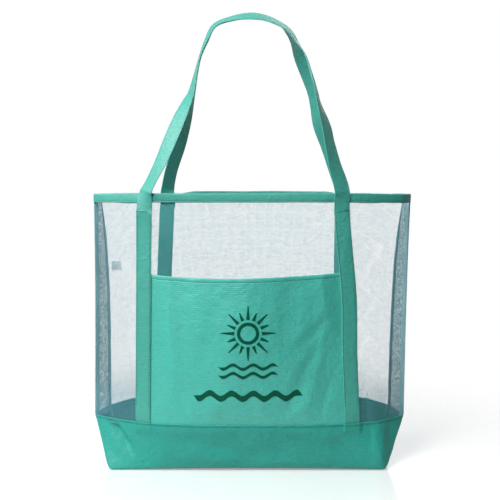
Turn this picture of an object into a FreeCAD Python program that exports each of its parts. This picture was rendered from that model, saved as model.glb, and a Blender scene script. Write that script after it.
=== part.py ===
"""Mesh beach tote with a fabric base, a front pocket and two sewn strap handles.

Millimetres. +X is the bag's right as seen from the front, -Y is the front, +Z is up.
The origin is at the centre of the underside.
Every cut and sewn piece is its own solid, written to parts/NODE.step.
"""
import FreeCAD, Part
import math
import os

# ---- driving dimensions -------------------------------------------------------------
BASE_HEIGHT = 79.0            # floor to the top edge of the fabric base
RIM_HEIGHT = 437.0            # floor to the top edge of the mesh, inside the binding
BOTTOM_HALF_WIDTH = 217.0     # boxed bottom, half of its width
BOTTOM_HALF_DEPTH = 75.0      # boxed bottom, half of its depth
WALL_CURVE_POWER = 3.2        # how squarely a wall turns into its corner, seen from above
BASE_SWELL_POWER = 1.5        # how quickly the base swells out above the floor

MESH_THICKNESS = 0.8
FABRIC_THICKNESS = 1.0
STRAP_WIDTH = 25.0
STRAP_THICKNESS = 1.9
LAYER_GAP = 0.25              # clearance between sewn layers
SEWN_CLEARANCE = 0.2          # clearance between the ends of sewn layers
SEAM_LAP = 8.0                # mesh tucked behind the top of the base
END_INSET = 1.5               # an end panel stops this far short of each corner line
BOTTOM_CORNER_RADIUS = 6.0

BINDING_HEIGHT = 13.0
BINDING_INNER = -1.9          # inner face of the folded rim binding, from the wall surface
BINDING_OUTER = 1.1           # and its outer face
BINDING_TOP = 1.2             # fabric over the top edge of the mesh
MESH_TUCK = 2.0               # mesh stops this far below the rim height
BINDING_END_INSET = 2.4       # an end's binding stops this far short of each corner line
SLOT_OVERRUN = 2.0            # the binding's slot is cut this far past it

POCKET_TOP = 313.0
POCKET_MOUTH_GAPE = 14.0      # how far the pocket's mouth stands off the mesh
POCKET_GAPE_POWER = 0.6
HEM_HEIGHT = 10.0
HEM_SHARE = 0.72              # share of the pocket's width that the hem facing covers
HEM_THICKNESS = 0.8

TAPE_START = 2.2              # seam tape, from the corner line inwards
TAPE_WIDTH = 6.0
TAPE_THICKNESS = 1.4
TAPE_LEAN = 0.47              # how much of the tape's direction points from front to back
TAPE_BOTTOM = 8.0

LABEL_SIZE = (15.0, 0.6, 15.0)
LABEL_BOTTOM = 309.0
LABEL_PIVOT = (-227.6, 12.4)

CROSS_STITCH_HEIGHT = 408.6
CROSS_STITCH_LENGTH = 21.0
CROSS_STITCH_WIDTH = 1.2
CROSS_STITCH_DEPTH = 0.5

STRAP_TOP = 410.4             # the straps are sewn down to here, just above the cross stitching
HANDLE_START = 411.4          # the free handle begins just above its hinge line
HANDLE_PAST_RIM = 441.0       # height at which it has passed the binding
HANDLE_OUT = (2.5, 5.4)       # its middle's distance from the wall at those two heights
HANDLE_STEPS = 5              # sections between two handle stations
SECTION_POINTS = 32           # spans of a wall section's interpolated curve
WALL_LEVELS = 9               # sections of a wall between its base and its binding

# One wall each: which way it faces, then corner half-width, corner depth and middle depth
# at the bottom, at the top of the base and at the rim.
FRONT = {
    "sign": -1,
    "corner_x": (BOTTOM_HALF_WIDTH, 249.0, 253.0),
    "corner_rise": 3.0,
    "corner_y": (BOTTOM_HALF_DEPTH, 32.0, 15.0),
    "middle_y": (BOTTOM_HALF_DEPTH, 92.0, 72.0),
}
BACK = {
    "sign": 1,
    "corner_x": (BOTTOM_HALF_WIDTH, 235.0, 248.0),
    "corner_rise": 4.0,
    "corner_y": (BOTTOM_HALF_DEPTH, 19.0, 12.0),
    "middle_y": (BOTTOM_HALF_DEPTH, 94.9, 72.0),
}

# Centre of each sewn strap: (x at the top of the base, x at the rim).
FRONT_STRAPS = {"left": (-168.0, -163.0), "right": (160.0, 142.5)}
BACK_STRAPS = {"left": (-158.0, -139.0), "right": (160.0, 157.0)}

# Handle stations from the left end to the right end: (x, z, turn). The turn is the angle
# in degrees from facing straight out of the wall to facing out of the loop.
FRONT_HANDLE = (
    (-163.5, 411.4, 13), (-163, 426, 16), (-160.5, 441, 23),
    (-137, 489, 30), (-111, 551, 44), (-91, 598, 67),
    (-79, 648, 88), (-62, 690, 88), (-32, 711, 70), (0, 714.5, 59),
    (36, 709, 66), (66, 688, 74), (88, 645, 82), (102, 598, 88),
    (112, 570, 84), (124, 515, 52), (133, 474, 30),
    (141.5, 441, 16), (143, 426, 12), (143.5, 411.4, 11),
)
BACK_HANDLE = (
    (-139.5, 411.4, 11), (-139.5, 426, 12), (-138.5, 441, 16),
    (-130, 474, 30), (-114, 515, 42), (-102, 556, 58),
    (-91, 598, 80), (-79, 648, 86), (-61, 690, 82), (-31, 714, 90), (0, 719, 100),
    (35, 713, 92), (62, 691, 66), (84, 648, 54), (100, 598, 58),
    (114, 552, 50), (130, 510, 38), (144, 474, 24),
    (156, 441, 18), (157, 426, 15), (157, 411.4, 14),
)
HANDLE_TOP_HEIGHT = 716.0     # height at which the two handles have leaned together
FRONT_HANDLE_TOP_Y = -12.4
BACK_HANDLE_TOP_Y = 13.4

STRAP_INNER = FABRIC_THICKNESS + 2 * LAYER_GAP
STRAP_OUTER = STRAP_INNER + STRAP_THICKNESS
HINGE_GAP = 2.6               # a strap bends over this far in front of its sewn part


# ---- wall surfaces ------------------------------------------------------------------
def between(low, high, share):
    return low + (high - low) * share


def base_share(z):
    """0 at the floor and 1 at the top of the base."""
    return 1 - (1 - min(z / BASE_HEIGHT, 1.0)) ** BASE_SWELL_POWER


def mesh_share(z):
    """0 at the top of the base and 1 at the rim."""
    return max(0.0, (z - BASE_HEIGHT) / (RIM_HEIGHT - BASE_HEIGHT))


def profile(values, z, power=1.0):
    """A bottom, base-top and rim value carried smoothly up the wall."""
    if z <= BASE_HEIGHT:
        return between(values[0], values[1], base_share(z))
    return between(values[1], values[2], mesh_share(z) ** power)


def corner(wall, z):
    """(half-width, signed depth) of a wall's vertical edge at height z."""
    x = profile(wall["corner_x"], z, wall["corner_rise"])
    return x, wall["sign"] * profile(wall["corner_y"], z)


def wall_y(wall, x, z):
    """Depth of the wall surface at a place across its width."""
    half_width, corner_y = corner(wall, z)
    middle_y = wall["sign"] * profile(wall["middle_y"], z)
    fullness = 1 - min(abs(x) / half_width, 1.0) ** WALL_CURVE_POWER
    return between(corner_y, middle_y, fullness)


def strap_centre(straps, hand, z):
    low, high = straps[hand]
    return between(low, high, mesh_share(z))


def no_lift(x, z):
    return 0.0


def pocket_lift(x, z):
    """How far the pocket stands off the front mesh."""
    half_strap = STRAP_WIDTH / 2
    left = strap_centre(FRONT_STRAPS, "left", z) + half_strap
    right = strap_centre(FRONT_STRAPS, "right", z) - half_strap
    place = (x - (left + right) / 2) / ((right - left) / 2)
    if abs(place) >= 1:
        return 0.0
    rise = max(0.0, (z - BASE_HEIGHT) / (POCKET_TOP - BASE_HEIGHT))
    return POCKET_MOUTH_GAPE * rise ** POCKET_GAPE_POWER * (1 - place ** 2) ** 2


# ---- solids -------------------------------------------------------------------------
def curve_edge(points):
    if len(points) == 2:
        return Part.LineSegment(points[0], points[1]).toShape()
    curve = Part.BSplineCurve()
    curve.interpolate(points)
    return curve.toShape()


def closed_section(near, far):
    """A wire that runs along one face, across, and back along the other face."""
    edges = [
        curve_edge(near),
        curve_edge([near[-1], far[-1]]),
        curve_edge(far[::-1]),
        curve_edge([far[0], near[0]]),
    ]
    return Part.Wire(edges)


def wall_sheet(wall, edges, heights, inner, outer, lift=no_lift, spans=SECTION_POINTS):
    """A sheet on the front or back wall. edges(z) gives its two sides at height z."""
    sections = []
    for z in heights:
        left, right = edges(z)
        xs = [between(left, right, i / spans) for i in range(spans + 1)]
        near = [face_point(wall, x, z, inner + lift(x, z)) for x in xs]
        far = [face_point(wall, x, z, outer + lift(x, z)) for x in xs]
        sections.append(closed_section(near, far))
    return Part.makeLoft(sections, True, True)


def face_point(wall, x, z, out):
    return FreeCAD.Vector(x, wall_y(wall, x, z) + wall["sign"] * out, z)


def end_sheet(hand, heights, inner, outer, inset):
    """A sheet on the bag's left (hand -1) or right (hand 1) end, between its corners."""
    sections = []
    for z in heights:
        front_x, front_y = corner(FRONT, z)
        back_x, back_y = corner(BACK, z)
        depth = back_y - front_y
        near, far = [], []
        for share in (inset / depth, 1 - inset / depth):
            x = between(front_x, back_x, share)
            y = between(front_y, back_y, share)
            near.append(FreeCAD.Vector(hand * (x + inner), y, z))
            far.append(FreeCAD.Vector(hand * (x + outer), y, z))
        sections.append(closed_section(near, far))
    return Part.makeLoft(sections, True, True)


def steps(low, high, count):
    return [between(low, high, i / count) for i in range(count + 1)]


def levels(low, high):
    """Section heights from low to high that every layer of the wall shares in between."""
    seam = BASE_HEIGHT - SEAM_LAP
    shared = steps(0, seam, 4) + steps(BASE_HEIGHT, RIM_HEIGHT - BINDING_HEIGHT, WALL_LEVELS)
    return [low] + [z for z in shared if low < z < high] + [high]


def full_width(wall):
    def edges(z):
        half_width, _ = corner(wall, z)
        return -half_width, half_width
    return edges


def strap_edges(straps, hand, width):
    def edges(z):
        centre = strap_centre(straps, hand, z)
        return centre - width / 2, centre + width / 2
    return edges


def pocket_edges(share):
    """The pocket runs from strap centre to strap centre; share narrows it about its middle."""
    def edges(z):
        left = strap_centre(FRONT_STRAPS, "left", z)
        right = strap_centre(FRONT_STRAPS, "right", z)
        middle, half = (left + right) / 2, (right - left) / 2
        return middle - half * share, middle + half * share
    return edges


# ---- the body of the bag ------------------------------------------------------------
def mesh_panels():
    heights = levels(BASE_HEIGHT - SEAM_LAP, RIM_HEIGHT - MESH_TUCK)
    inner, outer = -MESH_THICKNESS, 0.0
    return {
        "front_mesh_panel": wall_sheet(FRONT, full_width(FRONT), heights, inner, outer),
        "back_mesh_panel": wall_sheet(BACK, full_width(BACK), heights, inner, outer),
        "left_mesh_gusset": end_sheet(-1, heights, inner, outer, END_INSET),
        "right_mesh_gusset": end_sheet(1, heights, inner, outer, END_INSET),
    }


def base_panels():
    plate = FABRIC_THICKNESS
    heights = levels(plate + LAYER_GAP, BASE_HEIGHT)
    inner, outer = LAYER_GAP, LAYER_GAP + FABRIC_THICKNESS
    overhang = inner + FABRIC_THICKNESS / 2
    width = 2 * (BOTTOM_HALF_WIDTH + overhang)
    depth = 2 * (BOTTOM_HALF_DEPTH + overhang)
    bottom = Part.makeBox(width, depth, plate, FreeCAD.Vector(-width / 2, -depth / 2, 0))
    upright = [e for e in bottom.Edges if abs(e.Vertexes[0].Z - e.Vertexes[-1].Z) > plate / 2]
    bottom = bottom.makeFillet(BOTTOM_CORNER_RADIUS, upright)
    return {
        "base_bottom_panel": bottom,
        "base_front_panel": wall_sheet(FRONT, full_width(FRONT), heights, inner, outer),
        "base_back_panel": wall_sheet(BACK, full_width(BACK), heights, inner, outer),
        "base_left_end": end_sheet(-1, heights, inner, outer, END_INSET),
        "base_right_end": end_sheet(1, heights, inner, outer, END_INSET),
    }


def rim_binding():
    """Fabric folded over the top edge of the mesh, as a bar with a slot for the mesh."""
    low, high = RIM_HEIGHT - BINDING_HEIGHT, RIM_HEIGHT + BINDING_TOP
    bar = [low, high]
    slot = levels(low - SLOT_OVERRUN, RIM_HEIGHT - MESH_TUCK + LAYER_GAP)
    slot_inner, slot_outer = -MESH_THICKNESS - LAYER_GAP, LAYER_GAP
    slot_inset = BINDING_END_INSET - SLOT_OVERRUN
    made = {}
    for name, wall in (("rim_binding_front", FRONT), ("rim_binding_back", BACK)):
        outside = wall_sheet(wall, full_width(wall), bar, BINDING_INNER, BINDING_OUTER)
        inside = wall_sheet(wall, full_width(wall), slot, slot_inner, slot_outer)
        made[name] = outside.cut(inside)
    for name, hand in (("rim_binding_left", -1), ("rim_binding_right", 1)):
        outside = end_sheet(hand, bar, BINDING_INNER, BINDING_OUTER, BINDING_END_INSET)
        inside = end_sheet(hand, slot, slot_inner, slot_outer, slot_inset)
        made[name] = outside.cut(inside)
    return made


def seam_tapes():
    """Bound seam allowances inside the four upright corners."""
    heights = levels(TAPE_BOTTOM, RIM_HEIGHT - BINDING_HEIGHT - 1.0)
    along = math.sqrt(1 - TAPE_LEAN ** 2)
    made = {}
    for wall_name, wall in (("front", FRONT), ("back", BACK)):
        for hand_name, hand in (("left", -1), ("right", 1)):
            inward = FreeCAD.Vector(-hand * along, -wall["sign"] * TAPE_LEAN, 0)
            across = FreeCAD.Vector(-inward.y, inward.x, 0) * (TAPE_THICKNESS / 2)
            sections = []
            for z in heights:
                x, y = corner(wall, z)
                start = FreeCAD.Vector(hand * x, y, z) + inward * TAPE_START
                end = start + inward * TAPE_WIDTH
                sections.append(
                    closed_section([start - across, end - across], [start + across, end + across])
                )
            made[f"{wall_name}_{hand_name}_seam_tape"] = Part.makeLoft(sections, True, True)
    return made


def pocket():
    heights = levels(BASE_HEIGHT + SEWN_CLEARANCE, POCKET_TOP)
    inner, outer = LAYER_GAP, LAYER_GAP + FABRIC_THICKNESS
    hem = levels(POCKET_TOP - HEM_HEIGHT, POCKET_TOP - SEWN_CLEARANCE)
    hem_outer = inner - LAYER_GAP
    return {
        "front_pocket": wall_sheet(
            FRONT, pocket_edges(1.0), heights, inner, outer, pocket_lift
        ),
        "pocket_hem": wall_sheet(
            FRONT, pocket_edges(HEM_SHARE), hem, hem_outer - HEM_THICKNESS, hem_outer, pocket_lift
        ),
    }


def sewn_straps():
    heights = levels(BASE_HEIGHT + SEWN_CLEARANCE, STRAP_TOP)
    made = {}
    for wall_name, wall, straps in (("front", FRONT, FRONT_STRAPS), ("back", BACK, BACK_STRAPS)):
        for hand in ("left", "right"):
            edges = strap_edges(straps, hand, STRAP_WIDTH)
            made[f"{wall_name}_{hand}_strap"] = wall_sheet(
                wall, edges, heights, STRAP_INNER, STRAP_OUTER, spans=4
            )
    return made


def cross_stitching():
    """One row of thread across each sewn strap, just under the rim."""
    low = CROSS_STITCH_HEIGHT - CROSS_STITCH_WIDTH / 2
    rows = []
    inner = STRAP_OUTER + LAYER_GAP
    for wall, straps in ((FRONT, FRONT_STRAPS), (BACK, BACK_STRAPS)):
        for hand in ("left", "right"):
            edges = strap_edges(straps, hand, CROSS_STITCH_LENGTH)
            heights = [low, low + CROSS_STITCH_WIDTH]
            rows.append(
                wall_sheet(wall, edges, heights, inner, inner + CROSS_STITCH_DEPTH, spans=4)
            )
    return {"strap_cross_stitching": Part.makeCompound(rows)}


# ---- the moving pieces --------------------------------------------------------------
def smooth_stations(stations):
    """Catmull-Rom points through the stations, HANDLE_STEPS to each stretch."""
    ends = [stations[0], *stations, stations[-1]]
    points = []
    for a, b, c, d in zip(ends, ends[1:], ends[2:], ends[3:]):
        for i in range(HANDLE_STEPS):
            t = i / HANDLE_STEPS
            points.append(tuple(
                0.5 * (2 * q + (r - p) * t + (2 * p - 5 * q + 4 * r - s) * t ** 2
                       + (3 * q - p - 3 * r + s) * t ** 3)
                for p, q, r, s in zip(a, b, c, d)
            ))
    points.append(stations[-1])
    return points


def hinge_y(wall, straps):
    """Depth of the handle's hinge line: clear of the straps' edges nearest the bag's middle."""
    centres = [abs(strap_centre(straps, hand, STRAP_TOP)) for hand in ("left", "right")]
    edge = min(centres) - STRAP_WIDTH / 2
    return face_point(wall, edge, STRAP_TOP, STRAP_OUTER + HINGE_GAP).y


def handle(wall, stations, top_y):
    """A flat strap that goes on from its sewn straps, over the rim, and turns over the top."""
    points = smooth_stations(stations)
    last = len(points) - 1
    rim_y = [
        face_point(wall, stations[i][0], HANDLE_PAST_RIM, HANDLE_OUT[1]).y for i in (2, -3)
    ]
    centres = []
    for i, (x, z, _) in enumerate(points):
        if z < HANDLE_PAST_RIM:
            share = (z - HANDLE_START) / (HANDLE_PAST_RIM - HANDLE_START)
            centres.append(face_point(wall, x, z, between(*HANDLE_OUT, share)))
        else:
            share = min((z - HANDLE_PAST_RIM) / (HANDLE_TOP_HEIGHT - HANDLE_PAST_RIM), 1.0)
            y = between(between(*rim_y, i / last), top_y, share)
            centres.append(FreeCAD.Vector(x, y, z))
    facing = FreeCAD.Vector(0, wall["sign"], 0)
    sections = []
    for i, centre in enumerate(centres):
        run = centres[min(i + 1, last)] - centres[max(i - 1, 0)]
        if i in (0, last):
            run = FreeCAD.Vector(0, 0, 1 if i == 0 else -1)
        run.normalize()
        out_of_loop = FreeCAD.Vector(-run.z, 0, run.x)
        turn = math.radians(points[i][2])
        normal = facing * math.cos(turn) + out_of_loop * math.sin(turn)
        normal = normal - run * normal.dot(run)
        normal.normalize()
        side = run.cross(normal) * (STRAP_WIDTH / 2)
        half = normal * (STRAP_THICKNESS / 2)
        sections.append(closed_section(
            [centre - side - half, centre + side - half],
            [centre - side + half, centre + side + half],
        ))
    return Part.makeLoft(sections, True, True)


def care_label():
    width, thickness, height = LABEL_SIZE
    x, y = LABEL_PIVOT
    return Part.makeBox(width, thickness, height, FreeCAD.Vector(x, y - thickness / 2, LABEL_BOTTOM))


def build():
    parts = {}
    parts.update(mesh_panels())
    parts.update(base_panels())
    parts.update(rim_binding())
    parts.update(seam_tapes())
    parts.update(pocket())
    parts.update(sewn_straps())
    parts.update(cross_stitching())
    parts["front_handle"] = handle(FRONT, FRONT_HANDLE, FRONT_HANDLE_TOP_Y)
    parts["back_handle"] = handle(BACK, BACK_HANDLE, BACK_HANDLE_TOP_Y)
    parts["care_label"] = care_label()
    return parts


os.makedirs("parts", exist_ok=True)
for name, shape in build().items():
    if not shape.isValid() or shape.Volume <= 0:
        raise RuntimeError(f"{name} is not a valid solid")
    shape.exportStep(f"parts/{name}.step")
    box = shape.BoundBox
    print(f"{name}: {len(shape.Solids)} solid(s), {shape.Volume / 1000:.2f} cm3, "
          f"x {box.XMin:.1f}..{box.XMax:.1f}, y {box.YMin:.1f}..{box.YMax:.1f}, "
          f"z {box.ZMin:.1f}..{box.ZMax:.1f}")
print(f"handle hinge lines: front y {hinge_y(FRONT, FRONT_STRAPS):.2f}, "
      f"back y {hinge_y(BACK, BACK_STRAPS):.2f}")
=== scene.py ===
"""A mesh beach tote: its soft pieces, materials, light and camera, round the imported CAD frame.

Shapes are worked out in millimetres and turned into metres when a mesh is made.
+X is the bag's right seen from the front, -Y is its front, +Z is up.
"""
import math

import bmesh
import bpy
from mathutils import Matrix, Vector, noise


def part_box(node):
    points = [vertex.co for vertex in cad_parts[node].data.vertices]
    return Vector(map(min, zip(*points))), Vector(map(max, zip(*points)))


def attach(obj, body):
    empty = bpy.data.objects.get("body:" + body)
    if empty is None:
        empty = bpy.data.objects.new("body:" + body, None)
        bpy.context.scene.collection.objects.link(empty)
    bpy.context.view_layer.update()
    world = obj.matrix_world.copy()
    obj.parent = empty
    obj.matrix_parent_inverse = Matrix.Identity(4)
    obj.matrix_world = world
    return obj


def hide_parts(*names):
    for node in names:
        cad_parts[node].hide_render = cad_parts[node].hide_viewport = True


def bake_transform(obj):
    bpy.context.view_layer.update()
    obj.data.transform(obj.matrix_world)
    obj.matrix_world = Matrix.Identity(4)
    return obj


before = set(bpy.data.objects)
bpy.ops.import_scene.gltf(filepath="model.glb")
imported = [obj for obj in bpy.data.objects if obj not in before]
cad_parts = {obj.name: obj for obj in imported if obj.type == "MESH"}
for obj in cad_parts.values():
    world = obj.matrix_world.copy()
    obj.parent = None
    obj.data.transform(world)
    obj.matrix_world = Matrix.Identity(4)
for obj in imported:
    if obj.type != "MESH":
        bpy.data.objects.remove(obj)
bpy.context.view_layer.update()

MM = 0.001


def cad_corner(node, which):
    """The lowest (0) or highest (1) corner of a CAD node's box, in millimetres."""
    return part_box(node)[which] / MM


# ---- dimensions, from the frame ------
BASE_HEIGHT = cad_corner("base_front_panel", 1).z
RIM_TOP = cad_corner("rim_binding_front", 1).z
BINDING_LOW = cad_corner("rim_binding_front", 0).z
RIM_HEIGHT = RIM_TOP - 1.2                       # where the walls' rim values hold
STRAP_TOP = cad_corner("front_left_strap", 1).z  # the cross stitching is just below
HANDLE_START = cad_corner("front_handle", 0).z
BOTTOM_HALF_WIDTH = -cad_corner("base_left_end", 1).x
POCKET_TOP = cad_corner("front_pocket", 1).z
FRONT_RIM_HALF_WIDTH = cad_corner("front_mesh_panel", 1).x
BACK_RIM_HALF_WIDTH = cad_corner("back_mesh_panel", 1).x

# ---- dimensions of the cloth ---------
BOTTOM_HALF_DEPTH = 75.0
BASE_SWELL_POWER = 1.5
WALL_CURVE_POWER = 3.2
LEAN = (-4.5, -1.0, 3.5)       # the walls' sideways drift at the floor, base top and rim
# The soft crease before each corner, at the floor, base top and rim: its x, and how much of
# the depth is left there. The left values are for the front's left, the right ones for the
# front's right and the back. A higher power keeps the change nearer the rim.
CREASE_LEFT = (212.0, 240.0, 150.0)
CREASE_RIGHT = (217.0, 203.0, 241.0)
CREASE_POWER_LEFT = 2.6
CREASE_POWER_RIGHT = 1.6
FULL_LEFT = (0.1, 0.1, 0.97)
FULL_RIGHT = (1.0, 0.62, 0.36)
FULL_POWER = 1.6
CORNER_SPARE = 2.6             # what rounding takes off an upright corner
CORNER_ROUNDING = 9            # passes of smoothing round an upright corner

FABRIC = 1.0
STRAP_WIDTH = 25.0
STRAP_THICKNESS = 1.9
EDGE_STITCH = 2.2              # a strap's stitch line, from its edge
STITCH_PITCH = 4.3
STITCH_LENGTH = 2.0
STITCH_RADIUS = 0.32
BASE_STITCH_RADIUS = 0.85
STRAP_STITCH_RADIUS = 0.8
HANDLE_STITCH_RADIUS = 0.24
POCKET_STITCH_RADIUS = 0.42
NET_PITCH = 1.6
NET_THREAD = 0.15

FRONT = {
    "sign": -1,
    "corner_x": (217.0, 249.0, FRONT_RIM_HALF_WIDTH),
    "corner_rise": 3.0,
    "corner_y": (BOTTOM_HALF_DEPTH, 32.0, 15.0),
    "middle_y": (BOTTOM_HALF_DEPTH, 92.0, 72.0),
}
BACK = {
    "sign": 1,
    "corner_x": (217.0, 235.0, BACK_RIM_HALF_WIDTH),
    "corner_rise": 4.0,
    "corner_y": (BOTTOM_HALF_DEPTH, 19.0, 12.0),
    "middle_y": (BOTTOM_HALF_DEPTH, 94.9, 72.0),
}
FRONT_STRAPS = {"left": (-168.0, -163.5), "right": (160.0, 143.0)}
BACK_STRAPS = {"left": (-158.0, -139.0), "right": (155.5, 156.0)}

# Handle stations from the left end to the right end: (x, z, turn). The turn is the angle
# in degrees from facing straight out of the wall to facing out of the loop.
FRONT_HANDLE = (
    (-163.5, 411.4, 26), (-163, 426, 34), (-160.5, 441, 42), (-152, 458.5, 47),
    (-137, 489, 38), (-124, 520, 29), (-111, 551, 33), (-99, 578, 50), (-91, 598, 66),
    (-80, 646, 81), (-68.6, 677, 75), (-56, 700, 71), (-31.5, 710.5, 67), (0, 715, 58),
    (27, 711, 62), (53.5, 698.5, 68), (64.5, 688, 70), (73, 674.5, 75), (87.4, 651, 86),
    (97.4, 618, 88), (107.3, 579, 74), (118.3, 543, 53), (124, 514, 47), (133, 474, 34),
    (141.5, 441, 26), (142, 426, 14), (142, 411.4, 8),
)
BACK_HANDLE = (
    (-139.5, 411.4, 18), (-139.5, 426, 26), (-139.5, 441, 36),
    (-132, 474, 40), (-117, 515, 44), (-104.5, 556, 58),
    (-93, 600, 82), (-81.5, 651, 92), (-68, 681, 93), (-55.6, 703.5, 92), (-31.5, 712.5, 92),
    (0, 716.5, 92), (29, 713, 91), (50.5, 705.4, 86), (61.6, 693.2, 82), (69.5, 680, 77),
    (74.5, 669, 66), (84.5, 648, 42), (101.6, 604, 52), (107.8, 580, 50), (113.7, 547, 50),
    (130, 510, 38), (144, 474, 24), (156, 441, 18), (156, 426, 15), (156, 411.4, 14),
)
HANDLE_TOP_HEIGHT = 716.0
HANDLE_TOP_Y = {"front": -12.4, "back": 13.4}
HANDLE_PAST_RIM = 441.0
HANDLE_OUT = (2.5, 5.4)          # from the wall, at the cross stitching and past the rim
HANDLE_STEPS = 14                # frames between two stations
FACING_TOP = HANDLE_START - 14   # a strap faces as the wall does up to here
SEWN_FRAMES = 105
TUCKED_FRAMES = 12               # frames at a strap's end, pressed thin behind the base
UNSTITCHED_FRAMES = 10           # of those, how many have no stitches


# ---- small helpers -------------------
def between(low, high, share):
    return low + (high - low) * share


def steps(low, high, count):
    return [between(low, high, i / count) for i in range(count + 1)]


def ease(value, low, high):
    """0 below low, 1 above high, smooth in between."""
    t = min(max((value - low) / (high - low), 0.0), 1.0)
    return t * t * (3 - 2 * t)


def bump(value, middle, width):
    return math.exp(-(((value - middle) / width) ** 2))


def waver(x, y, z, size):
    """Smooth noise from -1 to 1 with features about size millimetres across."""
    return noise.noise(Vector((x, y, z)) / size)


# ---- the walls -----------------------
def base_share(z):
    return 1 - (1 - min(max(z, 0.0) / BASE_HEIGHT, 1.0)) ** BASE_SWELL_POWER


def mesh_share(z):
    return max(0.0, (z - BASE_HEIGHT) / (RIM_HEIGHT - BASE_HEIGHT))


def profile(values, z, power=1.0):
    """A floor, base-top and rim value carried smoothly up the wall."""
    low, middle, high = values
    if z <= BASE_HEIGHT:
        return between(low, middle, base_share(z))
    return between(middle, high, mesh_share(z) ** power)


def corner(wall, z):
    """(half-width, depth without sign) of a wall's upright edge."""
    low, high, _ = wall["corner_x"]
    half = profile(wall["corner_x"], z, wall["corner_rise"]) + CORNER_SPARE
    if z < BASE_HEIGHT:
        half = between(low, high, (max(z, 0.0) / BASE_HEIGHT) ** 0.8) + CORNER_SPARE
    return half, profile(wall["corner_y"], z)


def wall_y(wall, x, z):
    """Depth of the wall, which turns in a soft crease before each corner."""
    half, corner_y = corner(wall, z)
    from_middle = x - profile(LEAN, z)
    across = min(abs(from_middle) / half, 1.0)
    left = from_middle < 0 and wall is FRONT
    if left:
        crease = profile(CREASE_LEFT, z, CREASE_POWER_LEFT)
    else:
        crease = profile(CREASE_RIGHT, z, CREASE_POWER_RIGHT)
    crease = min(crease / half, 0.97)
    full = profile(FULL_LEFT if left else FULL_RIGHT, z, FULL_POWER)
    if across < crease:
        fullness = 1 - (1 - full) * (across / crease) ** WALL_CURVE_POWER
    else:
        fullness = full * (1 - across) / (1 - crease)
    return wall["sign"] * between(corner_y, profile(wall["middle_y"], z), fullness)


def wall_normal(wall, x, z):
    reach = 1.5
    across = Vector((2 * reach, wall_y(wall, x + reach, z) - wall_y(wall, x - reach, z), 0))
    up = Vector((0, wall_y(wall, x, z + reach) - wall_y(wall, x, z - reach), 2 * reach))
    return (up.cross(across) * wall["sign"]).normalized()


def wall_point(wall, x, z, out=0.0):
    return Vector((x, wall_y(wall, x, z), z)) + wall_normal(wall, x, z) * out


def strap_centre(straps, hand, z):
    low, high = straps[hand]
    centre = between(low, high, mesh_share(z))
    if straps is FRONT_STRAPS and hand == "right":
        centre += 3.0 * bump(z, 270, 60) - 2.3 * bump(z, 410, 60)
    return centre


# ---- rings round the bag -------------
WALL_SPANS = 290
END_SPANS = 30
FRONT_SPAN = (0, WALL_SPANS)
RIGHT_SPAN = (WALL_SPANS, WALL_SPANS + END_SPANS)
BACK_SPAN = (WALL_SPANS + END_SPANS, 2 * WALL_SPANS + END_SPANS)
LEFT_SPAN = (2 * WALL_SPANS + END_SPANS, 2 * WALL_SPANS + 2 * END_SPANS)
RING_COUNT = LEFT_SPAN[1]
CORNERS = (FRONT_SPAN[0], FRONT_SPAN[1], BACK_SPAN[0], BACK_SPAN[1])
END_HOLLOW = (0.0, 2.0, 3.5)   # how far an end curves inwards between its corners


def raw_ring(z):
    """Points round the bag at one height: front, right end, back, left end."""
    drift = profile(LEAN, z)
    points = []
    for wall, direction in ((FRONT, 1), (BACK, -1)):
        half, _ = corner(wall, z)
        for i in range(WALL_SPANS):
            x = drift + direction * half * (2 * i / WALL_SPANS - 1)
            points.append(Vector((x, wall_y(wall, x, z), z)))
        other = BACK if wall is FRONT else FRONT
        start = Vector((drift + direction * half, wall_y(wall, drift + direction * half, z), z))
        half, depth = corner(other, z)
        end = Vector((drift + direction * half, other["sign"] * depth, z))
        for i in range(END_SPANS):
            share = i / END_SPANS
            inwards = profile(END_HOLLOW, z) * 4 * share * (1 - share)
            points.append(start.lerp(end, share) + Vector((-direction * inwards, 0, 0)))
    return points


def corner_distance(i):
    return min(abs(i - c) for c in (*CORNERS, RING_COUNT))


def ring(z, out=0.0):
    """A ring with softened corners, moved out by out, a distance or out(i, point)."""
    points = raw_ring(z)
    near = [i for i in range(RING_COUNT) if corner_distance(i) < CORNER_ROUNDING + 2]
    for _ in range(CORNER_ROUNDING):
        moved = {i: (points[i - 1] + points[(i + 1) % RING_COUNT]) / 2 for i in near}
        for i, place in moved.items():
            points[i] = points[i].lerp(place, 0.7)
    made = []
    for i, point in enumerate(points):
        along = points[(i + 1) % RING_COUNT] - points[i - 1]
        normal = Vector((along.y, -along.x, 0)).normalized()
        distance = out(i, point) if callable(out) else out
        made.append(point + normal * distance)
    return made


# ---- mesh making ---------------------
def link(name, mesh):
    thing = bpy.data.objects.new(name, mesh)
    bpy.context.scene.collection.objects.link(thing)
    return thing


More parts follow.
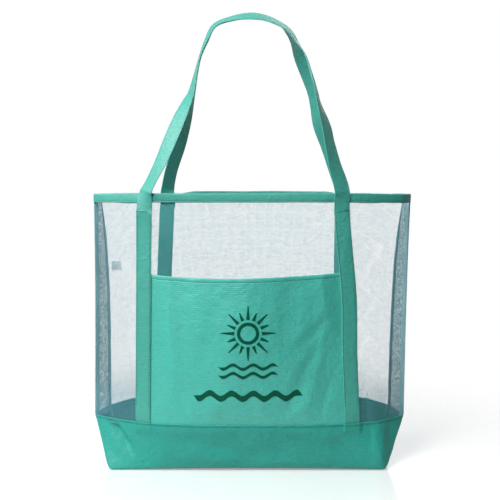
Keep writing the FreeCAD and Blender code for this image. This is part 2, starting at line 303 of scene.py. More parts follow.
def grid_mesh(name, rows, close_across=False, close_along=False, caps=False):
    """A surface through rows of points. Its UV map is the cloth's own lengths, in metres."""
    count = len(rows[0])
    verts = [p * MM for row in rows for p in row]
    across = []
    for row in rows:
        lengths = [0.0]
        loop = row + [row[0]] if close_across else row
        for a, b in zip(loop, loop[1:]):
            lengths.append(lengths[-1] + (b - a).length)
        shift = 0.0 if close_across else lengths[-1] / 2
        across.append([length - shift for length in lengths])
    along = [0.0]
    middle = count // 2
    for a, b in zip(rows, rows[1:]):
        along.append(along[-1] + (b[middle] - a[middle]).length)
    if close_along:
        along.append(along[-1] + (rows[0][middle] - rows[-1][middle]).length)
    faces, uvs = [], []
    for r in range(len(rows) - (0 if close_along else 1)):
        s = (r + 1) % len(rows)
        for c in range(count - (0 if close_across else 1)):
            d = (c + 1) % count
            faces.append((r * count + c, r * count + d, s * count + d, s * count + c))
            uvs += [(across[r][c], along[r]), (across[r][c + 1], along[r]),
                    (across[s][c + 1], along[r + 1]), (across[s][c], along[r + 1])]
    if caps:
        last = (len(rows) - 1) * count
        faces.append(tuple(range(count - 1, -1, -1)))
        faces.append(tuple(range(last, last + count)))
        uvs += [(0.0, 0.0)] * (2 * count)
    mesh = bpy.data.meshes.new(name)
    mesh.from_pydata(verts, [], faces)
    layer = mesh.uv_layers.new(name="cloth")
    for loop, (u, v) in enumerate(uvs):
        layer.data[loop].uv = (u * MM, v * MM)
    mesh.polygons.foreach_set("use_smooth", [True] * len(mesh.polygons))
    mesh.update()
    return link(name, mesh)


def outward(thing):
    """Turns a closed mesh's faces outwards."""
    made = bmesh.new()
    made.from_mesh(thing.data)
    bmesh.ops.recalc_face_normals(made, faces=made.faces)
    made.to_mesh(thing.data)
    made.free()
    return thing


def thicken(thing, thickness, offset=-1.0):
    modifier = thing.modifiers.new("cloth_thickness", "SOLIDIFY")
    modifier.thickness = thickness * MM
    modifier.offset = offset
    modifier.use_even_offset = False
    return thing


def finish_piece(thing, material, slot, *nodes, body=None):
    thing.data.materials.append(material)
    if nodes:
        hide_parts(*nodes)
    if body:
        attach(thing, body)
    return thing


# ---- stitches ------------------------
STITCH_RINGS = ((-1.0, 0.3, -0.45), (-0.7, 0.9, -0.05), (0.0, 1.0, 0.1), (0.7, 0.9, -0.05),
                (1.0, 0.3, -0.45))  # (place along, radius, lift) of a stitch's rings
STITCH_SIDES = 6


def stitch_run(path, normals, pitch=STITCH_PITCH, length=STITCH_LENGTH):
    """Centres, directions and normals of evenly spaced stitches along a path."""
    found, travelled, target = [], 0.0, pitch / 2
    for (a, b), normal in zip(zip(path, path[1:]), normals):
        stretch = (b - a).length
        while stretch > 0 and travelled + stretch >= target:
            share = (target - travelled) / stretch
            found.append((a.lerp(b, share), (b - a) / stretch, normal, length))
            target += pitch
        travelled += stretch
    return found


def stitches(name, runs, radius=STITCH_RADIUS):
    """One mesh of short thread stitches, each bowed so that its ends sink into the cloth."""
    verts, faces = [], []
    for centre, direction, normal, length in (s for run in runs for s in run):
        side = direction.cross(normal).normalized()
        up = side.cross(direction).normalized()
        first = len(verts)
        for along, share, lift in STITCH_RINGS:
            middle = centre + direction * (along * length / 2) + up * (lift * radius * 2)
            for k in range(STITCH_SIDES):
                angle = 2 * math.pi * k / STITCH_SIDES
                spoke = side * math.cos(angle) + up * math.sin(angle)
                verts.append((middle + spoke * radius * share) * MM)
        for r in range(len(STITCH_RINGS) - 1):
            for k in range(STITCH_SIDES):
                n = (k + 1) % STITCH_SIDES
                a, b = first + r * STITCH_SIDES, first + (r + 1) * STITCH_SIDES
                faces.append((a + k, b + k, b + n, a + n))
        last = first + (len(STITCH_RINGS) - 1) * STITCH_SIDES
        faces.append(tuple(first + k for k in range(STITCH_SIDES)))
        faces.append(tuple(last + k for k in range(STITCH_SIDES - 1, -1, -1)))
    mesh = bpy.data.meshes.new(name)
    mesh.from_pydata(verts, [], faces)
    mesh.polygons.foreach_set("use_smooth", [True] * len(mesh.polygons))
    mesh.update()
    return link(name, mesh)


# ---- materials -----------------------
WHITE = (1.0, 1.0, 1.0, 1.0)
WARP_PITCH = 0.62
INK_RIB_PITCH = 1.15
NET_SHADE_HEIGHTS = (0.08, 0.16)     # the heights between which the net's threads widen downwards, a painted shade near the base, in metres


class Nodes:
    """Builds a node tree, one line a node."""

    def __init__(self, owner):
        owner.use_nodes = True
        self.tree = owner.node_tree
        self.tree.nodes.clear()

    def join(self, source, target):
        self.tree.links.new(source, target)

    def node(self, kind, **settings):
        made = self.tree.nodes.new(kind)
        for key, value in settings.items():
            setattr(made, key, value)
        return made

    def read(self, kind, output, **settings):
        return self.node(kind, **settings).outputs[output]

    def put(self, socket, value):
        if isinstance(value, bpy.types.NodeSocket):
            self.join(value, socket)
        else:
            socket.default_value = value

    def math(self, operation, a, b=0.0):
        made = self.node("ShaderNodeMath", operation=operation)
        self.put(made.inputs[0], a)
        self.put(made.inputs[1], b)
        return made.outputs[0]

    def plus(self, a, b):
        return self.math("ADD", a, b)

    def times(self, a, b):
        return self.math("MULTIPLY", a, b)

    def split(self, vector):
        """A vector's x, y and z."""
        made = self.node("ShaderNodeSeparateXYZ")
        self.join(vector, made.inputs[0])
        return tuple(made.outputs)

    def ramp(self, value, *limits, curve="SMOOTHSTEP"):
        """Carries a value between the first two limits to the next two, or to 0 and 1."""
        made = self.node("ShaderNodeMapRange", interpolation_type=curve)
        self.put(made.inputs[0], value)
        for socket, limit in zip(made.inputs[1:5], limits):
            socket.default_value = limit
        return made.outputs[0]

    def mix(self, factor, a, b):
        made = self.node("ShaderNodeMix", data_type="RGBA")
        self.put(made.inputs[0], factor)
        self.put(made.inputs[6], a)
        self.put(made.inputs[7], b)
        return made.outputs[2]


class Paint(Nodes):
    """A material with one shader."""

    def __init__(self, name):
        self.material = bpy.data.materials.new(name)
        super().__init__(self.material)
        output = self.node("ShaderNodeOutputMaterial")
        self.shader = self.node("ShaderNodeBsdfPrincipled")
        self.join(self.shader.outputs[0], output.inputs["Surface"])

    def dials(self, **settings):
        """Sets the shader's inputs, with an underscore for each space in a name."""
        for name, value in settings.items():
            self.put(self.shader.inputs[name.replace("_", " ")], value)

    def cloth_axes(self):
        """The cloth's two lengths, in metres."""
        return self.split(self.read("ShaderNodeUVMap", 0, uv_map="cloth"))[:2]

    def noise(self, size, detail=2.0, roughness=0.5, stretch=(1.0, 1.0, 1.0)):
        """Noise from 0 to 1 over the object's own space; size in millimetres."""
        place = self.node("ShaderNodeMapping")
        self.join(self.read("ShaderNodeTexCoord", "Object"), place.inputs[0])
        place.inputs["Scale"].default_value = stretch
        made = self.node("ShaderNodeTexNoise")
        made.inputs["Scale"].default_value = 1 / (size * MM)
        made.inputs["Detail"].default_value = detail
        made.inputs["Roughness"].default_value = roughness
        self.join(place.outputs[0], made.inputs["Vector"])
        return made.outputs["Fac"]

    def spread(self, value, contrast):
        """Widens noise round its middle, still from 0 to 1."""
        return self.ramp(value, 0.5 - 0.5 / contrast, 0.5 + 0.5 / contrast, curve="LINEAR")

    def stripes(self, length, pitch):
        """A wave from -1 to 1 along a cloth length; pitch in millimetres."""
        return self.math("SINE", self.times(length, 2 * math.pi / (pitch * MM)))

    def bump(self, height, strength, distance):
        made = self.node("ShaderNodeBump")
        made.inputs["Strength"].default_value = strength
        made.inputs["Distance"].default_value = distance * MM
        self.join(height, made.inputs["Height"])
        self.dials(Normal=made.outputs[0])


def shade(colour, factor):
    return (*(min(c * factor, 1.0) for c in colour), 1.0)


def woven(name, colour, rib=2.9, sheen=0.2, crumple_and_shade=1.0, gloss=1.0):
    """A plain-woven polyester: fine ribs across it, uneven yarns and slight crumples with painted
    light and shade.
    """
    n = Paint(name)
    u, v = n.cloth_axes()
    weave = n.plus(n.times(n.stripes(v, rib), 0.36), n.times(n.stripes(u, WARP_PITCH), 0.14))
    weave = n.plus(weave, 0.5)
    grain = n.spread(n.noise(1.6), 2.6)
    slubs = n.spread(n.noise(4.0, 3.0, 0.65, (0.4, 0.4, 1.5)), 2.4)
    raised_lit_patches = n.spread(n.noise(26.0, 4.0, 0.6), 2.0)
    crumples = n.noise(9.0, 2.6, 0.68)
    # Broad patches are painted lighter where they raise the cloth and darker where it sinks:
    # painted light and shade on its crumples.
    tone = n.mix(raised_lit_patches, shade(colour, 1 - 0.13 * crumple_and_shade), shade(colour, 1 + 0.13 * crumple_and_shade))
    tone = n.mix(n.times(slubs, 0.55), tone, shade(colour, 0.6))
    tone = n.mix(n.times(grain, 0.42), tone, shade(colour, 1.5))
    tone = n.mix(n.times(weave, 0.6), tone, shade(colour, 1.4))
    height = n.plus(n.times(weave, 0.14), n.times(slubs, 0.07))
    height = n.plus(height, n.times(crumples, 1.5 * crumple_and_shade))
    height = n.plus(height, n.times(raised_lit_patches, 0.55 * crumple_and_shade))
    n.bump(height, 0.8, 1.0)
    n.dials(Base_Color=tone, Roughness=n.plus(n.times(slubs, 0.14), 0.48),
            Specular_IOR_Level=gloss, Sheen_Weight=sheen, Sheen_Roughness=0.45,
            Sheen_Tint=(0.75, 1.0, 0.95, 1.0))
    return n.material


def net(name, colour, thread=NET_THREAD, low_shade=0.0):
    """An open net of crossed threads, with holes between; its threads can widen low down, a
    painted shade near the base.
    """
    n = Paint(name)
    half = thread / NET_PITCH / 2
    height = n.split(n.read("ShaderNodeTexCoord", "Object"))[2]
    # Wider threads low down darken the net there: painted shade near the base.
    low = n.ramp(height, *NET_SHADE_HEIGHTS, (low_shade - 0.3) * half, -0.3 * half)
    width = n.plus(n.times(n.noise(4.5, 3.0, 0.6, (0.6, 0.6, 1.4)), 2.6 * half), low)
    strands = []
    for length in n.cloth_axes():
        cell = n.math("FRACT", n.times(length, 1 / (NET_PITCH * MM)))
        away = n.math("ABSOLUTE", n.math("SUBTRACT", cell, 0.5))
        strands.append(n.math("LESS_THAN", away, width))
    n.dials(Base_Color=n.mix(n.noise(3.0), shade(colour, 0.85), shade(colour, 1.15)),
            Roughness=n.plus(n.times(n.noise(1.5), 0.2), 0.35), Specular_IOR_Level=0.6,
            Sheen_Weight=0.2, Alpha=n.math("MAXIMUM", *strands))
    return n.material


def thread_material(name, colour):
    """Twisted sewing thread."""
    n = Paint(name)
    fibres = n.noise(0.35, 3.0, 0.6, (1.0, 1.0, 3.0))
    n.bump(fibres, 0.4, 0.05)
    n.dials(Base_Color=n.mix(fibres, shade(colour, 0.8), shade(colour, 1.25)),
            Roughness=n.plus(n.times(fibres, 0.2), 0.4), Sheen_Weight=0.15)
    return n.material


def ink_material(name, colour):
    """Screen-printed ink, through which the ribs still show."""
    n = Paint(name)
    speckle = n.noise(1.2, 3.0, 0.6)
    n.bump(n.plus(n.stripes(n.cloth_axes()[1], INK_RIB_PITCH), speckle), 0.35, 0.06)
    tone = n.mix(n.times(speckle, 0.5), shade(colour, 0.85), shade(colour, 1.15))
    n.dials(Base_Color=tone, Roughness=n.plus(n.times(speckle, 0.2), 0.42),
            Specular_IOR_Level=0.15)
    return n.material


TEAL = (0.028, 0.33, 0.265)
MATERIALS = {
    "base": woven("base_cloth", (0.02, 0.315, 0.258), sheen=0.03, gloss=0.4),
    "pocket": woven("pocket_cloth", (0.034, 0.41, 0.335)),
    "binding": woven("binding_cloth", TEAL, rib=1.9),
    "strap": woven("strap_cloth", TEAL, rib=1.9, sheen=0.25),
    "tape": woven("seam_tape_cloth", (0.2, 0.39, 0.43), rib=0.9, sheen=0.15, crumple_and_shade=0.5),
    "net": net("net_cloth", (0.14, 0.40, 0.49), low_shade=1.3),
    # The side nets are one cloth; the right one is painted much darker, a painted shade on the
    # end away from the key light.
    "left_net": net("left_side_net_cloth", (0.16, 0.42, 0.49), thread=0.86),
    "right_net": net("right_side_net_cloth_painted_shade", (0.05, 0.23, 0.27), thread=0.9),
    "thread": thread_material("sewing_thread", (0.02, 0.25, 0.2)),
    # Dark thread for stitch lines; under the binding and along the pocket hem it also stands for
    # a painted shadow line.
    "dark_thread_and_shadow": thread_material("dark_sewing_thread_and_shadow", (0.006, 0.1, 0.082)),
    "label": woven("label_cloth", (0.66, 0.76, 0.76), rib=0.5, sheen=0.1, crumple_and_shade=0.3),
    "ink": ink_material("printing_ink", (0.0, 0.095, 0.05)),
}


# ---- the base ------------------------
HEM_STITCH_DROP = 3.8          # the base's stitch line, below its top edge
LAYERS_UNDER_BASE = 2.2        # thickness of a strap's end tucked under the base
POCKET_UNDER_BASE = 1.0
FLOOR_CLEARANCE = 0.6
BOTTOM_ARCH = 2.6              # how far the bottom's long edges rise in the middle
BOTTOM_SHARES = (0.03, 0.25, 0.5, 0.72, 0.88, 0.96)
BASE_TURN = ((0.2, -1.8), (0.9, -0.4), (2.2, 0.5), (4.0, 1.0))       # (z, out)
BASE_WALL = (7, 10, 14, 19, 25, 31, 37, 43, 49, 55, 60, 64, 67.5, 70)   # z


def layers_under(wall, x):
    """How far the base's top stands out over the pocket and the straps tucked behind it."""
    straps = FRONT_STRAPS if wall is FRONT else BACK_STRAPS
    left, right = straps["left"][0], straps["right"][0]
    away = min(abs(x - left), abs(x - right)) - STRAP_WIDTH / 2
    out = LAYERS_UNDER_BASE * (1 - ease(away, -1, 4))
    if wall is FRONT:
        inside = ease(x, left, left + 6) * (1 - ease(x, right - 6, right))
        out = max(out, POCKET_UNDER_BASE * inside)
    return out


# Soft folds of the base: (x, z) at its start, (x, z) at its end, width, height.
BASE_FOLDS = (
    ((-224, 76), (-190, 32), 7.0, -8.5),
    ((208, 80), (214, 8), 7.0, 2.4),
    ((196, 74), (199, 20), 5.0, 1.2),
    ((226, 76), (216, 20), 8.0, -1.6),
    ((-150, 58), (-110, 24), 9.0, -1.8),
    ((-110, 66), (-40, 40), 15.0, -2.0),
    ((-40, 40), (70, 28), 15.0, -2.4),
    ((60, 58), (180, 30), 14.0, -1.8),
    ((-100, 24), (-20, 12), 11.0, 1.8),
    ((60, 68), (140, 56), 9.0, 1.4),
    ((-170, 68), (-70, 62), 8.0, 1.2),
    ((20, 14), (120, 10), 10.0, 1.4),
)
POCKET_FOLDS = (
    ((-128, 300), (-118, 150), 13.0, 2.4),
    ((-84, 306), (-76, 215), 16.0, 1.6),
    ((0, 308), (-30, 130), 30.0, 2.0),
    ((118, 312), (128, 225), 22.0, 3.4),
    ((62, 306), (58, 200), 18.0, -1.2),
    ((128, 254), (70, 196), 7.5, -1.1),
    ((122, 228), (74, 172), 7.0, 0.8),
    ((100, 205), (58, 96), 9.0, -1.3),
    ((112, 190), (84, 96), 9.0, 1.0),
    ((134, 168), (108, 92), 7.0, -0.9),
    ((88, 110), (52, 84), 7.0, 0.9),
    ((-112, 128), (-96, 88), 9.0, -1.2),
    ((-60, 112), (-52, 84), 12.0, 1.2),
    ((10, 124), (24, 84), 10.0, 1.0),
)


def folds(table, x, z):
    total = 0.0
    for (ax, az), (bx, bz), width, height in table:
        dx, dz = bx - ax, bz - az
        length = math.hypot(dx, dz)
        along = ((x - ax) * dx + (z - az) * dz) / length
        aside = ((x - ax) * dz - (z - az) * dx) / length
        ends = ease(along, -0.35 * length, 0.3 * length)
        ends *= 1 - ease(along, 0.7 * length, 1.35 * length)
        total += height * bump(aside, 0, width) * ends
    return total


def base_out(z, profile_out):
    """The base's outside at one height: cloth, layers under it, folds and fine waviness."""
    def out(i, point):
        wall = FRONT if i < RIGHT_SPAN[0] else BACK
        over = layers_under(wall, point.x) * ease(z, 58, 70)
        held = ease(z, 2, 14) * (1 - ease(z, 66, 78))
        table = BASE_FOLDS if wall is FRONT else ()
        crumple = folds(table, point.x, z) + 1.1 * waver(point.x, point.y, z * 1.6, 46)
        crumple += 0.35 * waver(point.x, point.y, z, 15)
        seam = -0.55 * bump(corner_distance(i), 0, 0.9) * ease(z, 1, 4)
        return profile_out + over + crumple * held + seam
    return out


def base_rows():
    """Rings from the middle of the bottom, over its edge, up the wall and over the top."""
    edge = ring(0.0)
    rows = []
    for share in BOTTOM_SHARES:
        row = []
        for p in edge:
            x, y = p.x * share, p.y * share
            arch = BOTTOM_ARCH * (1 - (x / BOTTOM_HALF_WIDTH) ** 2) * ease(share, 0.5, 1.0)
            row.append(Vector((x, y, FLOOR_CLEARANCE + arch * 0.9 + 0.25 * waver(x, y, 5, 60))))
        rows.append(row)
    stitch = BASE_HEIGHT - HEM_STITCH_DROP
    wall = [(z, 1.15) for z in BASE_WALL]
    hem = [(71.6, 1.25), (stitch - 1.1, 1.3), (stitch - 0.5, 1.1), (stitch, 1.0),
           (stitch + 0.5, 1.1), (stitch + 1.1, 1.35), (stitch + 2.4, 1.75),
           (BASE_HEIGHT - 1.0, 1.8), (BASE_HEIGHT - 0.35, 1.6), (BASE_HEIGHT, 1.1)]
    for z, out in (*BASE_TURN, *wall, *hem):
        made = ring(z, base_out(z, out))
        for i, p in enumerate(made):
            rise = BOTTOM_ARCH * (1 - (p.x / BOTTOM_HALF_WIDTH) ** 2)
            if i in range(*FRONT_SPAN) or i in range(*BACK_SPAN):
                p.z += max(rise, 0.0) * (1 - ease(z, 0, 40))
            p.z += FLOOR_CLEARANCE * (1 - ease(z, 0, 30))
        rows.append(made)
    return rows


def make_base():
    shell = grid_mesh("base_shell", base_rows(), close_across=True)
    made = bmesh.new()
    made.from_mesh(shell.data)
    made.verts.ensure_lookup_table()
    made.faces.new([made.verts[i] for i in range(RING_COUNT - 1, -1, -1)]).smooth = True
    made.to_mesh(shell.data)
    made.free()
    thicken(shell, FABRIC)
    return finish_piece(
        shell, MATERIALS["base"], "base_fabric", "base_bottom_panel", "base_front_panel",
        "base_back_panel", "base_left_end", "base_right_end", body="bag"
    )


def ring_stitches(name, z, out, drop=None, thread="thread", radius=STITCH_RADIUS):
    """Thread all round the bag at one height, following out(i, point)."""
    path = ring(z, out)
    if drop:
        for i, point in enumerate(path):
            point.z -= drop(i, point)
    path.append(path[0])
    normals = [Vector((b.y - a.y, a.x - b.x, 0)).normalized() for a, b in zip(path, path[1:])]
    made = stitches(name, [stitch_run(path, normals)], radius)
    return finish_piece(made, MATERIALS[thread], "thread", body="bag")


# ---- the mesh, its seams and the rim -
PANEL_LOW = 70.0
PANEL_HIGH = RIM_HEIGHT - 2
PANEL_OUT = -0.45
PANELS = {  # each panel's stretch of the ring, and its cloth's flat width in metres
    "front_mesh_panel": (FRONT_SPAN, 0.548), "right_mesh_gusset": (RIGHT_SPAN, 0.044),
    "back_mesh_panel": (BACK_SPAN, 0.536), "left_mesh_gusset": (LEFT_SPAN, 0.044),
}
RIM_PROFILE = (  # (out, height from the binding's lower edge) round the folded tape
    (0.35, 0.0), (1.0, 0.15), (1.15, 0.9), (1.0, 1.6), (0.55, 2.2), (1.0, 2.8), (1.2, 3.6),
    (1.2, 6.5), (1.2, 9.5), (1.15, 12.4), (0.95, 13.5), (0.3, 14.15), (-0.5, 14.2),
    (-1.4, 13.8), (-1.85, 12.6), (-1.9, 9.0), (-1.9, 5.0), (-1.85, 3.2), (-1.3, 2.2),
    (-1.8, 1.3), (-1.7, 0.3), (-1.1, 0.05),
)
RIM_STITCH_RISE = 2.2


def panel_out(z):
    def out(i, point):
        x, y, _ = point
        slack = math.sin(math.pi * mesh_share(z)) ** 0.7
        ripple = 1.4 * waver(x, y, z * 0.7, 90) + 0.5 * waver(x, y, z, 30)
        pull = 0.6 * waver(x * 3, y, z * 0.25, 40) * (1 - mesh_share(z)) ** 2
        return PANEL_OUT + (ripple * slack + pull * slack) * ease(corner_distance(i), 0, 12)
    return out


def make_panels():
    heights = steps(PANEL_LOW, BASE_HEIGHT, 2) + steps(BASE_HEIGHT, PANEL_HIGH, 52)[1:]
    rings = [ring(z, panel_out(z)) for z in heights]
    for name, ((low, high), width) in PANELS.items():
        stride = 4 if high - low > END_SPANS else 3
        picks = [*range(low, high, stride), high]
        rows = [[row[i % RING_COUNT] for i in picks] for row in rings]
        panel = grid_mesh(name + "_net", rows)
        cloth = MATERIALS.get(name.split("_")[0] + "_net", MATERIALS["net"])
        finish_piece(panel, cloth, "mesh", name, body="bag")


def binding_out(profile_out):
    def out(i, point):
        return profile_out + 0.22 * waver(point.x, point.y, 0, 11)
    return out


def rim_sag(i, point):
    """The back of the rim hangs a little lower beside its straps than between them."""
    drop = 2.3 * bump(max(0.0, 250 - abs(point.x)), 0, 60)
    if i not in range(*FRONT_SPAN):
        drop += 1.2
    if i in range(*BACK_SPAN):
        beside = 1 - ease(point.x, -124, -92) * (1 - ease(point.x, 126, 158))
        drop += 4.6 * beside * ease(corner_distance(i), 0, 30)
    return drop


def make_binding():
    rows = []
    for out, rise in RIM_PROFILE:
        row = ring(BINDING_LOW + rise, binding_out(out))
        for i, p in enumerate(row):
            p.z += 0.5 * waver(p.x, p.y, 300, 70) + 0.12 * waver(p.x, p.y, 100, 9)
            p.z -= rim_sag(i, p)
        rows.append(row)
    binding = outward(grid_mesh("rim_binding", rows, close_across=True, close_along=True))
    finish_piece(
        binding, MATERIALS["binding"], "binding_fabric", "rim_binding_front",
        "rim_binding_back", "rim_binding_left", "rim_binding_right", body="bag"
    )
    # The dark thread along the binding's lower edge is its stitching and also a painted shadow
    # line under the binding.
    ring_stitches("rim_lower_stitching_and_shadow_line", BINDING_LOW + 0.7, binding_out(1.0), drop=rim_sag,
                  thread="dark_thread_and_shadow")
    low = BINDING_LOW + RIM_STITCH_RISE
    ring_stitches("rim_stitching_outside", low, binding_out(0.85), drop=rim_sag)
    ring_stitches("rim_stitching_inside", low, binding_out(-1.55), drop=rim_sag)


TAPE_LEAN = 0.47
TAPE_THICKNESS = 1.3
TAPE_REACH = {"front": (7.5, 7.0, 6.0), "back": (7.0, 5.5, 0.8)}
TAPE_SECTION = (  # (share of the reach, share of the thickness)
    (0.0, -0.3), (0.12, -0.5), (0.5, -0.42), (0.9, -0.5), (1.0, -0.25),
    (1.0, 0.25), (0.9, 0.5), (0.5, 0.42), (0.12, 0.5), (0.0, 0.3),
)


def make_tapes():
    """Bound seam allowances that stand inwards from the four upright corners."""
    along = math.sqrt(1 - TAPE_LEAN ** 2)
    for wall_name, wall in (("front", FRONT), ("back", BACK)):
        for hand_name, hand in (("left", -1), ("right", 1)):
            rows = []
            for z in steps(60.0, BINDING_LOW + 3, 110):
                half, depth = corner(wall, z)
                place = Vector((profile(LEAN, z) + hand * half, wall["sign"] * depth, z))
                lean = TAPE_LEAN + 0.18 * waver(hand * 50, wall["sign"] * 30, z, 60)
                inward = Vector((-hand * along, -wall["sign"] * lean, 0)).normalized()
                across = Vector((-inward.y, inward.x, 0)) * TAPE_THICKNESS
                reach = profile(TAPE_REACH[wall_name], z, 5.0)
                reach += 0.5 * waver(hand * 90, wall["sign"] * 70, z, 22)
                start = place + inward * 1.2
                rows.append([start + inward * (reach * a) + across * b for a, b in TAPE_SECTION])
            name = f"{wall_name}_{hand_name}_seam_tape"
            tape = outward(grid_mesh(name + "_cloth", rows, close_across=True, caps=True))
            finish_piece(tape, MATERIALS["tape"], "seam_tape", name, body="bag")


# ---- the pocket ----------------------
POCKET_GAPE = 14.0
POCKET_GAPE_POWER = 0.6
POCKET_BULGE = 6.0
POCKET_TUCK = 72.0
POCKET_OUT = 0.25
POCKET_SPANS = 150
POCKET_ROWS = 62
HEM_STITCH = 6.8               # the pocket's stitch line, below its top edge
POCKET_HEM = (  # (drop below the mouth, out) of the hem's rows
    (HEM_STITCH + 4, 0.0), (HEM_STITCH + 2, 0.05), (HEM_STITCH + 1, 0.1),
    (HEM_STITCH + 0.45, -0.1), (HEM_STITCH, -0.3), (HEM_STITCH - 0.45, -0.05),
    (HEM_STITCH - 1, 0.35), (HEM_STITCH - 2.2, 0.5), (4.0, 0.55), (2.6, 0.55), (1.4, 0.5),
    (0.6, 0.25), (0.1, -0.3),
)


def pocket_sides(z):
    return strap_centre(FRONT_STRAPS, "left", z), strap_centre(FRONT_STRAPS, "right", z)


def pocket_place(x, z):
    """-1 at the left strap's inner edge and 1 at the right one's."""
    left, right = pocket_sides(z)
    half = (right - left) / 2 - STRAP_WIDTH / 2
    return (x - (left + right) / 2) / half


def pocket_edge_height(x):
    """The mouth sags a little between the straps."""
    place = pocket_place(x, POCKET_TOP)
    level = between(POCKET_TOP - 1.0, POCKET_TOP + 2.0, (place + 1) / 2)
    return level - 5.4 * max(0.0, 1 - place ** 2) * (1 - 0.25 * place)


def pocket_point(x, z, out=0.0):
    place = pocket_place(x, z)
    inside = max(0.0, 1 - place ** 2)
    rise = max(0.0, (z - BASE_HEIGHT) / (POCKET_TOP - BASE_HEIGHT))
    full = POCKET_GAPE * rise ** POCKET_GAPE_POWER + POCKET_BULGE * math.sin(math.pi * rise)
    soft = min(1.0, inside * 3) * ease(z, BASE_HEIGHT, BASE_HEIGHT + 22)
    crumple = folds(POCKET_FOLDS, x, z) + 0.9 * waver(x, 0, z, 42) + 0.3 * waver(x, 7, z, 13)
    return wall_point(FRONT, x, z, POCKET_OUT + out + full * inside ** 2 + crumple * soft)


def make_pocket():
    rows = []
    for i in range(POCKET_ROWS):
        row = []
        for share in steps(0, 1, POCKET_SPANS):
            x = between(*pocket_sides(POCKET_TUCK), share)
            top = pocket_edge_height(x) - POCKET_HEM[0][0] - 2.5
            z = between(POCKET_TUCK, top, i / (POCKET_ROWS - 1))
            row.append(pocket_point(between(*pocket_sides(z), share), z, FABRIC))
        rows.append(row)
    for drop, out in POCKET_HEM:
        rows.append([pocket_point(x, pocket_edge_height(x) - drop, FABRIC + out)
                     for x in steps(*pocket_sides(POCKET_TOP - drop), POCKET_SPANS)])
    pocket = thicken(grid_mesh("front_pocket_cloth", rows), FABRIC)
    finish_piece(pocket, MATERIALS["pocket"], "pocket_fabric", "front_pocket", "pocket_hem",
                 body="bag")
    left, right = pocket_sides(POCKET_TOP)
    inset = STRAP_WIDTH / 2 + 1
    # The hem's stitch line is dark thread that also stands for a painted fold shadow under the
    # pocket's top edge.
    path = [pocket_point(x, pocket_edge_height(x) - HEM_STITCH, FABRIC - 0.1)
            for x in steps(left + inset, right - inset, POCKET_SPANS)]
    run = stitch_run(path, [Vector((0, -1, 0))] * len(path))
    thread = stitches("pocket_hem_stitching_and_fold_shadow", [run], POCKET_STITCH_RADIUS)
    finish_piece(thread, MATERIALS["dark_thread_and_shadow"], "thread", body="bag")


# ---- the emblem: a plain sun over waves
EMBLEM_CENTRE = (-3.0, 210.0)
INK_OUT = FABRIC + 0.3
SUN_HEIGHT = 14.0              # above the emblem's centre
RAYS = 16


def inked(rows):
    return [[pocket_point(EMBLEM_CENTRE[0] + x, EMBLEM_CENTRE[1] + z, INK_OUT) for x, z in row]
            for row in rows]


def wave_rows(half_width, z, crest, thickness, wavelength):
    rows = []
    for x in steps(-half_width, half_width, max(24, int(half_width))):
        middle = z + crest * math.sin(2 * math.pi * x / wavelength)
        ends = ease(half_width - abs(x), 0, 7)
        half = thickness / 2 * (0.12 + 0.88 * ends)
        rows.append([(x, middle + side) for side in (-half, 0, half)])
    return rows


def sun_rows(inner, outer):
    rows = []
    for angle in steps(0, 2 * math.pi, 72):
        rows.append([(r * math.cos(angle), SUN_HEIGHT + r * math.sin(angle))
                     for r in (inner, (inner + outer) / 2, outer)])
    return rows


def ray_rows(angle, start, end, width):
    rows = []
    for share in (0.0, 0.5, 1.0):
        r = between(start, end, share)
        half = width / 2 * (1 - 0.75 * share)
        rows.append([(r * math.cos(angle) - side * math.sin(angle),
                      SUN_HEIGHT + r * math.sin(angle) + side * math.cos(angle))
                     for side in (-half, 0, half)])
    return rows


def make_emblem():
    shapes = [sun_rows(12.0, 17.0)]
    for i in range(RAYS):
        end = 42.0 if i % 2 == 0 else 34.0
        shapes.append(ray_rows(2 * math.pi * i / RAYS, 21.0, end, 5.6))
    for z in (-38, -51):
        shapes.append(wave_rows(46, z, 3.4, 5.0, 30.7))
    shapes.append(wave_rows(84, -84, 4.4, 9.5, 33.6))
    pieces = [grid_mesh(f"emblem_{i}", inked(rows)) for i, rows in enumerate(shapes)]
    made = bmesh.new()
    for piece in pieces:
        made.from_mesh(piece.data)
    emblem = pieces[0]
    emblem.name = "pocket_emblem"
    made.to_mesh(emblem.data)
    made.free()
    for piece in pieces[1:]:
        bpy.data.objects.remove(piece)
    for polygon in emblem.data.polygons:
        if polygon.normal.y > 0:
            polygon.flip()
    finish_piece(emblem, MATERIALS["ink"], "thread", body="bag")


# ---- straps and handles --------------
STRAP_SECTION = (  # (share of the half-width, height) over the outer side, edge to edge
    (-1.0, 0.0), (-0.985, 0.5), (-0.93, 0.88), (-0.87, 0.86), (-0.825, 0.66), (-0.78, 0.86),
    (-0.6, 0.98), (-0.3, 1.0), (0.0, 1.0), (0.3, 1.0), (0.6, 0.98), (0.78, 0.84),
    (0.825, 0.66), (0.87, 0.86), (0.93, 0.88), (0.985, 0.5), (1.0, 0.0),
)


def smooth_stations(stations):
    """Catmull-Rom points through the stations, HANDLE_STEPS to each stretch."""
    ends = [stations[0], *stations, stations[-1]]
    points = []
    for a, b, c, d in zip(ends, ends[1:], ends[2:], ends[3:]):
        for i in range(HANDLE_STEPS):
            t = i / HANDLE_STEPS
            points.append(tuple(
                0.5 * (2 * q + (r - p) * t + (2 * p - 5 * q + 4 * r - s) * t ** 2
                       + (3 * q - p - 3 * r + s) * t ** 3)
                for p, q, r, s in zip(a, b, c, d)
            ))
    points.append(stations[-1])
    return points


def sewn_leg(wall, straps, hand):
    """(centre, facing) of a sewn strap from the base up to the cross stitching."""
    leg = []
    for z in steps(POCKET_TUCK, STRAP_TOP - 1.0, SEWN_FRAMES):
        x = strap_centre(straps, hand, z)
        out = between(0.9, 2.2, ease(z, 74, 92)) + 0.25 * waver(x, 40, z, 18)
        leg.append((wall_point(wall, x, z, out), wall_normal(wall, x, min(z, FACING_TOP))))
    return leg


